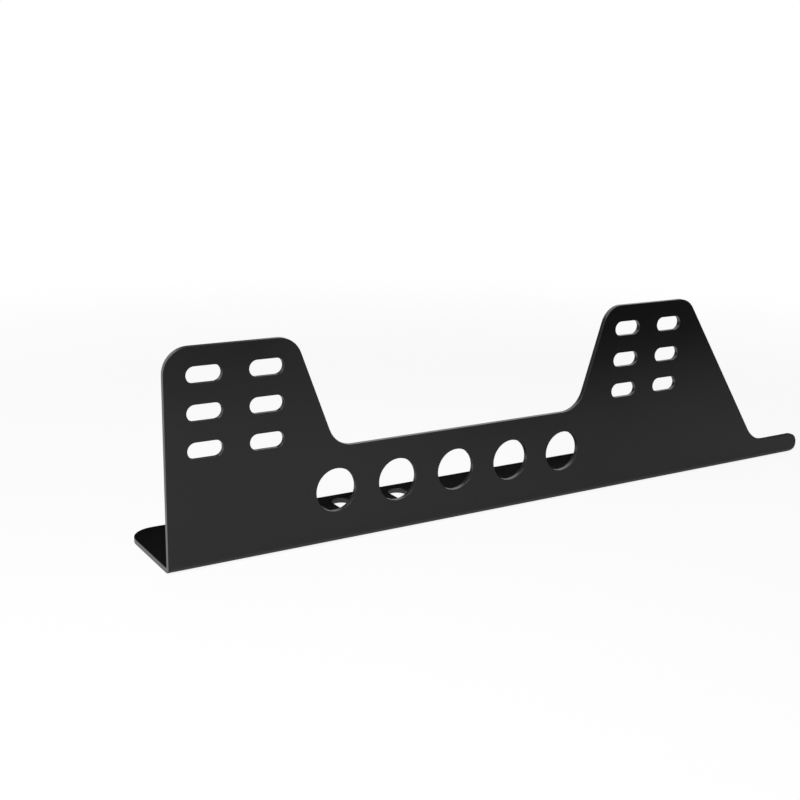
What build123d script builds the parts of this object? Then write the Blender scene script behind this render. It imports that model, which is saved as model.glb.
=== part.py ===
from build123d import *
import os

# Seat side mount: one steel sheet, cut to outline, pierced and folded once along its length.
# The upright web carries the seat's side bolts in two slotted lobes, and the foot lies on the floor.
# It is drawn with X from the front edge to the tail, Y from the web's outer face across the foot,
# and Z up from the floor. At the end the origin moves to the middle of the base.

# Sheet
sheet_thickness = 3.0
bend_inner_radius = 1.0

# Seat bolt slots, the same grid in each lobe
seat_slot_length = 20.0
seat_slot_width = 9.0
seat_slot_columns = 2
seat_slot_rows = 3
seat_slot_column_pitch = 35.0
seat_slot_row_pitch = 20.0
front_edge_to_column = 22.0
lobe_top_to_row = 15.0
seat_bolt_spacing = 285.0

# Web outline, with the corners as they are before rounding
overall_length = 477.0
lobe_height = 120.0
lobe_half_top = 34.0
front_slope_run = 25.0
rear_slope_run = 20.0
waist_height = 56.0
tail_length = 45.0
tail_height = 14.0
lobe_corner_radius = 14.0
waist_corner_radius = 16.0
tail_corner_radius = 22.0

# Round lightening holes along the waist
waist_hole_diameter = 25.0
waist_hole_count = 5
waist_hole_pitch = 40.0
waist_hole_height = 31.0
first_waist_hole = 99.0

# Foot, shorter than the web by the overhang of the tail
foot_width = 65.0
tail_overhang = 12.0
foot_corner_radius = 15.0
tail_relief_radius = 3.0

# Cross slots of the foot, one group near each end
foot_slot_length = 42.0
foot_slot_width = 12.0
foot_slot_pitch = 20.0
foot_slots_per_group = 6
foot_edge_to_slot = 7.0
front_edge_to_foot_slot = 71.0
rear_edge_to_foot_slot = 24.0

# Places that follow from the sizes above
half_grid_length = seat_slot_column_pitch * (seat_slot_columns - 1) / 2
half_grid_height = seat_slot_row_pitch * (seat_slot_rows - 1) / 2
front_grid = front_edge_to_column + half_grid_length
rear_grid = front_grid + seat_bolt_spacing
grid_height = lobe_height - lobe_top_to_row - half_grid_height
foot_length = overall_length - tail_overhang


def folded_bar():
    """The plain folded angle, with its inner and outer bend about one centre."""
    outside = FilletPolyline(
        (0, lobe_height), (0, 0), (foot_width, 0),
        radius=bend_inner_radius + sheet_thickness,
    )
    inside = FilletPolyline(
        (foot_width, sheet_thickness), (sheet_thickness, sheet_thickness), (sheet_thickness, lobe_height),
        radius=bend_inner_radius,
    )
    section = make_face([outside, Line(outside @ 1, inside @ 0), inside, Line(inside @ 1, outside @ 0)])
    return extrude(Plane.YZ * section, overall_length, dir=(1, 0, 0))


def web_profile():
    """Lobe, waist, lobe and round-ended tail, as seen from the side."""
    tail_end = overall_length - tail_height / 2
    front_lobe_end = front_grid + lobe_half_top
    rear_lobe_start = rear_grid - lobe_half_top
    corners = [
        ((0, lobe_height), lobe_corner_radius),
        ((front_lobe_end, lobe_height), lobe_corner_radius),
        ((front_lobe_end + front_slope_run, waist_height), waist_corner_radius),
        ((rear_lobe_start - rear_slope_run, waist_height), waist_corner_radius),
        ((rear_lobe_start, lobe_height), lobe_corner_radius),
        ((rear_grid + lobe_half_top, lobe_height), lobe_corner_radius),
        ((overall_length - tail_length, tail_height), tail_corner_radius),
    ]
    points = [point for point, radius in corners]
    crest = FilletPolyline((0, 0), *points, (tail_end, tail_height), radius=[radius for point, radius in corners])
    nose = TangentArc(crest @ 1, (tail_end, 0), tangent=crest % 1)
    profile = make_face([crest, nose, Line(nose @ 1, crest @ 0)])
    return extrude(Plane.XZ * profile, foot_width, dir=(0, 1, 0))


def foot_profile():
    """Foot with two rounded free corners, cut back beside the tail, as seen from above."""
    outline = FilletPolyline(
        (0, 0),
        (0, foot_width),
        (foot_length, foot_width),
        (foot_length, sheet_thickness),
        (overall_length, sheet_thickness),
        (overall_length, 0),
        radius=[foot_corner_radius, foot_corner_radius, tail_relief_radius, 0],
    )
    profile = make_face([outline, Line(outline @ 1, outline @ 0)])
    return extrude(profile, lobe_height, dir=(0, 0, 1))


def web_openings():
    """The slot grid of each lobe and the row of round holes between them."""
    grid = GridLocations(seat_slot_column_pitch, seat_slot_row_pitch, seat_slot_columns, seat_slot_rows)
    slot = SlotOverall(seat_slot_length, seat_slot_width)
    openings = []
    for middle in (front_grid, rear_grid):
        openings += [Pos(middle, grid_height) * spot * slot for spot in grid]
    for number in range(waist_hole_count):
        centre = Pos(first_waist_hole + number * waist_hole_pitch, waist_hole_height)
        openings.append(centre * Circle(waist_hole_diameter / 2))
    return extrude(Plane.XZ * Sketch(children=openings), sheet_thickness, dir=(0, 1, 0))


def foot_openings():
    """The cross slots that the floor bolts pass through."""
    across = foot_width - foot_edge_to_slot - foot_slot_length / 2
    half_row = foot_slot_pitch * (foot_slots_per_group - 1) / 2
    row = GridLocations(foot_slot_pitch, 0, foot_slots_per_group, 1)
    slot = SlotOverall(foot_slot_length, foot_slot_width, rotation=90)
    openings = []
    for middle in (front_edge_to_foot_slot + half_row, foot_length - rear_edge_to_foot_slot - half_row):
        openings += [Pos(middle, across) * spot * slot for spot in row]
    return extrude(Sketch(children=openings), sheet_thickness, dir=(0, 0, 1))


bracket = folded_bar() & web_profile() & foot_profile()
bracket = bracket - web_openings() - foot_openings()
side_mount_bracket = Pos(-overall_length / 2, -foot_width / 2, 0) * bracket

os.makedirs("parts", exist_ok=True)
export_step(side_mount_bracket, "parts/side_mount_bracket.step")
print("solids", len(side_mount_bracket.solids()), "volume", round(side_mount_bracket.volume, 1))
print("box", side_mount_bracket.bounding_box())
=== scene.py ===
# %% [markdown]
# # Seat side mount
#
# The real object is one steel sheet, 3 mm thick. A laser cuts the outline, the slots and the round holes,
# and a press brake folds it once along its length. It is then hung up and powder coated in satin black.
# The solid model already holds that shape at its real size. This lesson gives it softened edges and its
# finish, and then sets up the floor, the light and the camera.

# %% Load the solid model
from math import radians
import bpy
from mathutils import Matrix, Vector


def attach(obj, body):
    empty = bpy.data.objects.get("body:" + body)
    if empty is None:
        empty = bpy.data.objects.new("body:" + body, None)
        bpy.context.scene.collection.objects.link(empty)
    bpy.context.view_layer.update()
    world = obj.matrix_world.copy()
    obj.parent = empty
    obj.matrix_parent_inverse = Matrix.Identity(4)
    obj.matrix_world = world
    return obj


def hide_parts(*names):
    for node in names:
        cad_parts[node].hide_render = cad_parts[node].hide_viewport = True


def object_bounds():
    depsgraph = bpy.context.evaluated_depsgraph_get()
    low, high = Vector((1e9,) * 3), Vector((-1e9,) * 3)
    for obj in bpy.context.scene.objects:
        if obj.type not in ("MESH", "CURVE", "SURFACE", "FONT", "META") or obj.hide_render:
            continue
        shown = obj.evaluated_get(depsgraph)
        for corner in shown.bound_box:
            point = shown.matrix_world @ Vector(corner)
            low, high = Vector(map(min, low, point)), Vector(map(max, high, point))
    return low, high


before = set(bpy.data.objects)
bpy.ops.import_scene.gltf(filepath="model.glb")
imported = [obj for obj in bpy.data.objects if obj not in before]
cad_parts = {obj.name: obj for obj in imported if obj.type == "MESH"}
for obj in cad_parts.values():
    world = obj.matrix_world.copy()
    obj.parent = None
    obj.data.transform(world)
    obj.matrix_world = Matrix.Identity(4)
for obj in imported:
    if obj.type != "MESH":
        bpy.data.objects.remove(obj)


def corners(box):
    """The lowest and highest corner of a box, in metres, to a tenth of a millimetre."""
    return [tuple(round(value, 4) for value in corner) for corner in box]


solid_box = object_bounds()
print("solid model, lowest and highest corner:", *corners(solid_box))

# %% [markdown]
# ## The sheet, as one clean mesh
#
# A mesh that comes from a solid model is a bag of loose triangles: each has its own three points, even
# where it touches its neighbours. A modifier that works on edges needs to know which faces meet, so the
# copy's points are merged first. Then the triangles of each flat face are dissolved into one large face.
# The solid's own mesh is left alone, and the copy stands in for it.

# %% Copy and merge the sheet
merge_distance = 0.000001
flat_within = radians(0.2)
cad_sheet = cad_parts["side_mount_bracket"]
bracket = bpy.data.objects.new("coated_bracket", cad_sheet.data.copy())
bpy.context.scene.collection.objects.link(bracket)
bpy.ops.object.select_all(action="DESELECT")
bracket.select_set(True)
bpy.context.view_layer.objects.active = bracket

bpy.ops.object.mode_set(mode="EDIT")
bpy.ops.mesh.select_all(action="SELECT")
bpy.ops.mesh.customdata_custom_splitnormals_clear()
bpy.ops.mesh.remove_doubles(threshold=merge_distance)
bpy.ops.mesh.dissolve_limited(angle_limit=flat_within, delimit={"NORMAL"})
bpy.ops.object.mode_set(mode="OBJECT")
print("merged sheet:", len(bracket.data.vertices), "points,", len(bracket.data.polygons), "faces")

# %% [markdown]
# ## Softened rims
#
# No coated edge is razor sharp. The laser's burr is brushed off, and melted powder pulls back from
# corners, so each rim ends in a radius of a few tenths of a millimetre. That radius catches the light and
# draws the outline of a black part. It could be cut into the solid model, but there it would multiply the
# facets for something that no bolt notices. A Bevel modifier does it here. Its angle limit picks the rims
# alone: they turn by 90 degrees, while the steps of the fold and of the round corners turn by far less.
# Weighted normals then keep the large flat faces truly flat in the light.

# %% Round the rims
rim_radius = 0.00025
rim_steps = 3
rim_turn = radians(60)
smooth_within = radians(40)
rims = bracket.modifiers.new("rims", "BEVEL")
rims.limit_method = "ANGLE"
rims.angle_limit = rim_turn
rims.width = rim_radius
rims.segments = rim_steps
rims.use_clamp_overlap = False
bpy.ops.object.modifier_apply(modifier="rims")
bpy.ops.object.shade_smooth_by_angle(angle=smooth_within)
flats = bracket.modifiers.new("flats", "WEIGHTED_NORMAL")
flats.keep_sharp = True
bpy.ops.object.modifier_apply(modifier="flats")
print("rounded sheet:", len(bracket.data.polygons), "faces")

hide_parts("side_mount_bracket")
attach(bracket, "root")

# %% [markdown]
# ## Where the cut walls are
#
# The sheet has two kinds of surface. Its two skins came smooth from the rolling mill, and its walls were
# cut by the laser. Under one coat they still look different, so they get materials of their own. The
# faces are told apart by where they are and where they point: on the upright web a skin points across
# the sheet, on the foot it points up or down, and round the fold it never points along the part. A face
# counts as pointing some way when more than 0.6 of its normal does.

# %% Sort the faces
outer_bend = 0.004
sheet_and_slack = 0.0035
points_that_way = 0.6
web_back = solid_box[0][1] + sheet_and_slack
foot_top = solid_box[0][2] + sheet_and_slack


def kind_of_face(face):
    """0 for a skin of the sheet, 1 for a cut wall of the web, 2 for a cut wall of the foot."""
    along, across, up = (abs(part) for part in face.normal)
    if face.center.y < web_back and face.center.z > outer_bend:
        return 1 if across < points_that_way else 0
    if face.center.z < foot_top and face.center.y > solid_box[0][1] + outer_bend:
        return 2 if up < points_that_way else 0
    return 1 if along > points_that_way else 0


kinds = [kind_of_face(face) for face in bracket.data.polygons]
print("faces on the skins, web walls and foot walls:", *[kinds.count(k) for k in range(3)])

# %% [markdown]
# ## Powder coat
#
# Powder melts into a skin about a tenth of a millimetre thick. It never levels out fully: it keeps a
# gentle orange peel, a millimetre or two from crest to crest, with a finer grain on top. On a cut wall
# it lies over the fine ribs that the laser leaves across the sheet, so it is rougher there, and greyer.
# All of these are noise at different sizes, so one node group makes them, and each material places the
# group with its own values. Stretching the grain along one direction turns it into ribs.

# %% Node group, its inputs and outputs
skin = bpy.data.node_groups.new("powder_skin", "ShaderNodeTree")
for name, kind, value in (
    ("Dark", "NodeSocketColor", (0.0028, 0.0028, 0.0029, 1)),
    ("Light", "NodeSocketColor", (0.0038, 0.0038, 0.0040, 1)),
    ("Grain Stretch", "NodeSocketVector", (1, 1, 1)),
    ("Grain Depth", "NodeSocketFloat", 0.000004),
    ("Peel Depth", "NodeSocketFloat", 0.00002),
    ("Roughness Low", "NodeSocketFloat", 0.27),
    ("Roughness High", "NodeSocketFloat", 0.33),
):
    socket = skin.interface.new_socket(name, in_out="INPUT", socket_type=kind)
    socket.default_value = value
skin.interface.new_socket("Color", in_out="OUTPUT", socket_type="NodeSocketColor")
skin.interface.new_socket("Roughness", in_out="OUTPUT", socket_type="NodeSocketFloat")
skin.interface.new_socket("Normal", in_out="OUTPUT", socket_type="NodeSocketVector")
values = skin.nodes.new("NodeGroupInput")
results = skin.nodes.new("NodeGroupOutput")
print("powder_skin sockets:", len(skin.interface.items_tree))

# %% Three sizes of noise
peel_waves = 650
grain_waves = 3800
drift_waves = 28
place = skin.nodes.new("ShaderNodeTexCoord")
stretched = skin.nodes.new("ShaderNodeVectorMath")
stretched.operation = "MULTIPLY"
skin.links.new(place.outputs["Object"], stretched.inputs[0])
skin.links.new(values.outputs["Grain Stretch"], stretched.inputs[1])


def noise(where, waves_per_metre, detail):
    """A noise texture that reads the position given to it."""
    node = skin.nodes.new("ShaderNodeTexNoise")
    node.inputs["Scale"].default_value = waves_per_metre
    node.inputs["Detail"].default_value = detail
    skin.links.new(where, node.inputs["Vector"])
    return node.outputs["Fac"]


peel = noise(place.outputs["Object"], peel_waves, detail=1)
grain = noise(stretched.outputs["Vector"], grain_waves, detail=2)
drift = noise(place.outputs["Object"], drift_waves, detail=3)
print("waves per metre of peel, grain and drift:", peel_waves, grain_waves, drift_waves)

# %% Heights
peel_bump = skin.nodes.new("ShaderNodeBump")
grain_bump = skin.nodes.new("ShaderNodeBump")
skin.links.new(peel, peel_bump.inputs["Height"])
skin.links.new(grain, grain_bump.inputs["Height"])
skin.links.new(values.outputs["Peel Depth"], peel_bump.inputs["Distance"])
skin.links.new(values.outputs["Grain Depth"], grain_bump.inputs["Distance"])
skin.links.new(peel_bump.outputs["Normal"], grain_bump.inputs["Normal"])
skin.links.new(grain_bump.outputs["Normal"], results.inputs["Normal"])
print("heights: grain on top of peel")

# %% Roughness and colour
drift_low = 0.3
drift_high = 0.7
sheen = skin.nodes.new("ShaderNodeMapRange")
skin.links.new(drift, sheen.inputs["Value"])
sheen.inputs["From Min"].default_value = drift_low
sheen.inputs["From Max"].default_value = drift_high
skin.links.new(values.outputs["Roughness Low"], sheen.inputs["To Min"])
skin.links.new(values.outputs["Roughness High"], sheen.inputs["To Max"])
skin.links.new(sheen.outputs["Result"], results.inputs["Roughness"])

tone = skin.nodes.new("ShaderNodeMix")
tone.data_type = "RGBA"
skin.links.new(grain, tone.inputs["Factor"])
skin.links.new(values.outputs["Dark"], tone.inputs["A"])
skin.links.new(values.outputs["Light"], tone.inputs["B"])
skin.links.new(tone.outputs["Result"], results.inputs["Color"])
print("powder_skin:", len(skin.nodes), "nodes")


# %% Materials
def coat(name, ior, **settings):
    """A coated finish: the shared skin with its own values, on one Principled shader."""
    material = bpy.data.materials.new(name)
    material.use_nodes = True
    shader = material.node_tree.nodes["Principled BSDF"]
    group = material.node_tree.nodes.new("ShaderNodeGroup")
    group.node_tree = skin
    for key, value in settings.items():
        group.inputs[key.replace("_", " ").title()].default_value = value
    material.node_tree.links.new(group.outputs["Color"], shader.inputs["Base Color"])
    material.node_tree.links.new(group.outputs["Roughness"], shader.inputs["Roughness"])
    material.node_tree.links.new(group.outputs["Normal"], shader.inputs["Normal"])
    shader.inputs["IOR"].default_value = ior
    bracket.data.materials.append(material)
    print("material", name)


rib_stretch = 0.06
wall_finish = dict(
    ior=1.75, dark=(0.008, 0.008, 0.008, 1), light=(0.020, 0.020, 0.020, 1),
    grain_depth=0.000012, peel_depth=0.00001, roughness_low=0.30, roughness_high=0.38,
)
bracket.data.materials.clear()
coat("satin_black", ior=1.42)
coat("web_wall", grain_stretch=(1, rib_stretch, 1), **wall_finish)
coat("foot_wall", grain_stretch=(1, 1, rib_stretch), **wall_finish)
for face, kind in zip(bracket.data.polygons, kinds):
    face.material_index = kind

# %% [markdown]
# ## Floor
#
# A plain pale floor far larger than the view, so that its edge never shows. A photograph's pure white
# ground could be had with more light, but that would wash out the part as well. Instead the floor's own
# pale colour is blended with an even white glow. The blend looks at what kind of ray has arrived, so
# the glow lights nothing. It is strong where the camera looks straight at the floor, and leaves just
# enough of the real colour for a soft shadow. For rays that come by way of the part's gloss, a patch of
# painted light glows behind the part and to its left, with a soft edge on each side. It is brighter than
# the lamp makes the floor there, and behind the part it covers the part's own shadow. The walls and
# edges that face it show it as a painted reflection. Under the part and close in front of it there is
# no glow, because there the gloss shows the dark of the part's own shadow. Seen from below the floor
# is clear, so that the underside can be looked at, and for the same reason it lies a hair under the part.

# %% Which rays see the background
background_rays = ("Is Camera Ray", "Is Glossy Ray", "Is Transmission Ray")
print("rays that see the background:", *background_rays)


def sees_background(nodes, links):
    """1 for a ray that comes straight to the camera, by way of gloss or through glass, otherwise 0."""
    rays = nodes.new("ShaderNodeLightPath")
    seen = rays.outputs[background_rays[0]]
    for name in background_rays[1:]:
        either = nodes.new("ShaderNodeMath")
        either.operation = "MAXIMUM"
        links.new(seen, either.inputs[0])
        links.new(rays.outputs[name], either.inputs[1])
        seen = either.outputs[0]
    return seen


# %% Floor disc
floor_radius = 30
floor_drop = 0.0001
bpy.ops.object.select_all(action="DESELECT")
bpy.ops.mesh.primitive_circle_add(
    vertices=96, radius=floor_radius, fill_type="NGON", location=(0, 0, -floor_drop),
)
floor = bpy.context.active_object
floor.name = "floor"
pale = bpy.data.materials.new("pale_floor")
pale.use_nodes = True
floor.data.materials.append(pale)
nodes, links = pale.node_tree.nodes, pale.node_tree.links
nodes.clear()
print("floor radius in metres:", floor_radius)

# %% How much of the glow shows near the part
glow_straight = 0.88
painted_glow_in_gloss = 0.75
# Painted light: behind the part and to its left the floor glows in the part's gloss only, brighter than
# the lamp makes it there, as a painted reflection on the walls and edges that face it.
back_edge = ("Y", 0.030, 0.050)
left_edge = ("X", -0.238, -0.246)
where = nodes.new("ShaderNodeTexCoord")
split = nodes.new("ShaderNodeSeparateXYZ")
links.new(where.outputs["Object"], split.inputs[0])
painted_glow_patch = nodes.new("ShaderNodeMath")
painted_glow_patch.operation = "MAXIMUM"
for number, (axis, start, end) in enumerate((back_edge, left_edge)):
    edge = nodes.new("ShaderNodeMapRange")
    edge.interpolation_type = "SMOOTHSTEP"
    links.new(split.outputs[axis], edge.inputs["Value"])
    edge.inputs["From Min"].default_value = start
    edge.inputs["From Max"].default_value = end
    edge.inputs["To Max"].default_value = painted_glow_in_gloss
    links.new(edge.outputs["Result"], painted_glow_patch.inputs[number])
rays = nodes.new("ShaderNodeLightPath")
near_share = nodes.new("ShaderNodeMapRange")
links.new(rays.outputs["Is Camera Ray"], near_share.inputs["Value"])
links.new(painted_glow_patch.outputs[0], near_share.inputs["To Min"])
near_share.inputs["To Max"].default_value = glow_straight
print("glow near the part, seen straight and in gloss:", glow_straight, painted_glow_in_gloss)

# %% The same, rising to full glow with distance
full_glow = 1.0
near = 0.30
far = 1.00
distance = nodes.new("ShaderNodeVectorMath")
distance.operation = "LENGTH"
links.new(where.outputs["Object"], distance.inputs[0])
fade = nodes.new("ShaderNodeMapRange")
fade.interpolation_type = "SMOOTHSTEP"
links.new(distance.outputs["Value"], fade.inputs["Value"])
fade.inputs["From Min"].default_value = near
fade.inputs["From Max"].default_value = far
links.new(near_share.outputs["Result"], fade.inputs["To Min"])
fade.inputs["To Max"].default_value = full_glow
share = nodes.new("ShaderNodeMath")
share.operation = "MULTIPLY"
links.new(sees_background(nodes, links), share.inputs[0])
links.new(fade.outputs["Result"], share.inputs[1])
print("the glow rises between", near, "and", far, "m from the middle")


# %% Floor surface
def blended(nodes, links, share, first, second):
    """The first shader where the share is 0, and the second where it is 1."""
    blend = nodes.new("ShaderNodeMixShader")
    links.new(share, blend.inputs["Fac"])
    links.new(first.outputs[0], blend.inputs[1])
    links.new(second.outputs[0], blend.inputs[2])
    return blend


def one_sided(nodes, links, front):
    """The front shader as seen from the side that the face points to, and clear from its back."""
    side = nodes.new("ShaderNodeNewGeometry")
    clear = nodes.new("ShaderNodeBsdfTransparent")
    return blended(nodes, links, side.outputs["Backfacing"], front, clear)


pale_grey = 0.86
matt = nodes.new("ShaderNodeBsdfDiffuse")
matt.inputs["Color"].default_value = (pale_grey, pale_grey, pale_grey, 1)
glow = nodes.new("ShaderNodeEmission")
lit_floor = blended(nodes, links, share.outputs[0], matt, glow)
surface = nodes.new("ShaderNodeOutputMaterial")
links.new(one_sided(nodes, links, lit_floor).outputs[0], surface.inputs["Surface"])
print("floor material:", len(nodes), "nodes")

# %% [markdown]
# ## Surroundings
#
# The studio's walls are white to the eye and in the gloss, and give less than a third of that as light, so
# the part keeps its contrast. The same test on the kind of ray tells the two apart.

# %% World
world = bpy.data.worlds.new("studio")
bpy.context.scene.world = world
world.use_nodes = True
nodes, links = world.node_tree.nodes, world.node_tree.links
nodes.clear()


def white_walls(strength):
    """White all round, at one strength."""
    walls = nodes.new("ShaderNodeBackground")
    walls.inputs["Color"].default_value = (1, 1, 1, 1)
    walls.inputs["Strength"].default_value = strength
    return walls


as_light = white_walls(strength=0.3)
as_seen = white_walls(strength=1.0)
studio = blended(nodes, links, sees_background(nodes, links), as_light, as_seen)
surroundings = nodes.new("ShaderNodeOutputWorld")
links.new(studio.outputs[0], surroundings.inputs["Surface"])
print("world material:", len(nodes), "nodes")

# %% [markdown]
# ## Lamp
#
# One large softbox, high up at the front left. A large lamp close by gives soft shadows, and its light
# falls off along the part, so that the tail's end is a little darker than the front.


# %% Softbox
def softbox(name, location, target, size, watts):
    """A square area lamp, turned to face its target."""
    bpy.ops.object.light_add(type="AREA", location=location)
    lamp = bpy.context.active_object
    lamp.name = name
    lamp.data.size = size
    lamp.data.energy = watts
    lamp.rotation_euler = (Vector(target) - Vector(location)).to_track_quat("-Z", "Y").to_euler()
    print("lamp", name, watts, "W")


softbox("key_softbox", location=(-0.55, -0.42, 0.75), target=(-0.05, -0.05, 0), size=0.5, watts=8)

# %% [markdown]
# ## Flags
#
# A glossy black part has next to no colour of its own: what is seen on it is the studio. Under white all
# round it would look grey. Photographers put black cards, called flags, just outside the picture, so
# that a flat face mirrors black there and its edges stay bright. The two lobes get darker towards their
# tops, because up there their faces mirror the cards. The foot is dark because it mirrors a card that
# hangs low behind it, and the wall along the tail's top because one stands behind the tail. These cards
# are seen by reflections only. They cast no shadow, take no light away, and are clear from their other
# side, so that they serve this view without blacking out others.

# %% Black card, with one side only
black_card = bpy.data.materials.new("black_card")
black_card.use_nodes = True
nodes, links = black_card.node_tree.nodes, black_card.node_tree.links
felt = nodes["Principled BSDF"]
felt.inputs["Base Color"].default_value = (0.004, 0.004, 0.004, 1)
felt.inputs["Specular IOR Level"].default_value = 0
links.new(one_sided(nodes, links, felt).outputs[0], nodes["Material Output"].inputs["Surface"])
print("black card material:", len(nodes), "nodes")


# %% Place the cards
def flag(name, corner, along, up):
    """A card from one corner along its two edges. Only reflections see it, and only on its black side."""
    along, up = Vector(along), Vector(up)
    axes = Matrix((along.normalized(), up.normalized(), along.cross(up).normalized())).transposed()
    bpy.ops.object.select_all(action="DESELECT")
    bpy.ops.mesh.primitive_plane_add(size=1)
    card = bpy.context.active_object
    card.name = name
    size = Matrix.Diagonal((along.length, up.length, 1, 1))
    card.matrix_world = Matrix.Translation(Vector(corner) + (along + up) / 2) @ axes.to_4x4() @ size
    card.visible_camera = card.visible_diffuse = card.visible_shadow = card.visible_transmission = False
    card.data.materials.append(black_card)
    print("flag", name, "sides", round(along.length, 3), round(up.length, 3))


flag("front_flag", (0.08, -0.467, 0), (-0.43, -0.2386, 0), (0, 0, 0.60))
flag("side_flag", (0.455, -0.3155, 0), (-0.3935, 0.071, 0), (0, 0, 0.37))
flag("tail_flag", (0.530, -0.136, 0), (-0.075, -0.1795, 0), (0, 0, 0.37))
flag("low_back_flag", (-0.258, 0.072, 0), (0.038, 0.038, 0), (0, 0, 0.13))
flag("tall_back_flag", (-0.22, 0.11, 0), (0.20, 0.20, 0), (0, 0, 0.30))
flag("tail_back_flag", (0.306, 0.171, 0), (0.128, -0.154, 0), (0, 0, 0.25))
flag("foot_flag", (-0.35, 0.04, 0.035), (0, 0.50, 0), (0.90, 0, 0))

# %% [markdown]
# ## Camera
#
# The camera stands at the front left, a little above the part, as the photograph's did. Its place and
# focal length were worked out from the outlines in the photograph, so it is set by numbers and not by
# eye. The small last turn is the photograph's own tilt.

# %% Camera
camera_place = (-0.4420, -0.5817, 0.2432)
level = radians(90)
downward = radians(14.331)
turn = radians(-31.958)
tilt = radians(1.213)
bpy.ops.object.camera_add()
camera = bpy.context.active_object
camera.name = "product_camera"
camera.matrix_world = (
    Matrix.Translation(camera_place)
    @ Matrix.Rotation(turn, 4, "Z")
    @ Matrix.Rotation(level - downward, 4, "X")
    @ Matrix.Rotation(tilt, 4, "Z")
)
camera.data.lens = 53.444
camera.data.sensor_width = 36
bpy.context.scene.camera = camera
print("camera", camera.data.lens, "mm")

# %% [markdown]
# ## Finish
#
# The Standard view shows each colour as it is written, with no film look over it.

# %% Finish
bpy.context.scene.view_settings.view_transform = "Standard"
